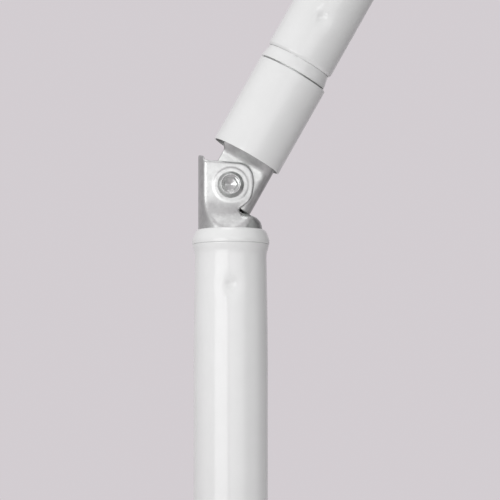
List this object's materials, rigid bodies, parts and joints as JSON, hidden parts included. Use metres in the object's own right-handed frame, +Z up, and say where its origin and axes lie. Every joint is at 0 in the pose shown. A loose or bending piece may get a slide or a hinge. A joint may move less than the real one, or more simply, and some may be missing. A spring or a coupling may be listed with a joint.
{
  "type": "parasol pole tilt joint",
  "caption": "Tilt joint of a parasol pole: steel tube ends joined by nested pressed brackets on a hex-socket pivot, with a sliding sleeve that locks the pole straight.",
  "frame": {"origin": "centre of the open bottom end of the lower tube", "axes": "+Z up the lower tube; +X towards the side the upper pole tilts to; +Y along the pivot"},
  "size_m": [0.1153, 0.0396, 0.3532],
  "materials": {
    "white_coat": "satin-gloss white powder coat on steel tube",
    "white_ring": "satin white moulded ring",
    "zinc_sheet": "zinc-plated pressed steel sheet",
    "zinc_fastener": "bright zinc-plated turned steel",
    "nylon": "natural nylon washer"
  },
  "bodies": {
    "lower_pole": {"lower_tube": "white_coat", "lower_end_ring": "white_ring", "lower_bracket": "zinc_sheet", "pivot_screw": "zinc_fastener", "pivot_barrel_nut": "zinc_fastener", "friction_washers": "nylon"},
    "upper_pole": {"upper_bracket": "zinc_sheet", "upper_tube": "white_coat", "stop_collar": "white_ring", "pivot_bush": "zinc_fastener"},
    "sleeve": {"lock_sleeve": "white_coat"}
  },
  "joints": [
    {"name": "tilt", "type": "hinge", "parent": "lower_pole", "child": "upper_pole", "pos_m": [0, 0, 0.2], "axis": [0, 1, 0], "range_deg": [-29.4, 0]},
    {"name": "sleeve_slide", "type": "slide", "parent": "upper_pole", "child": "sleeve", "axis": [0.4909, 0, 0.8712], "range_m": [-0.009, 0]}
  ]
}
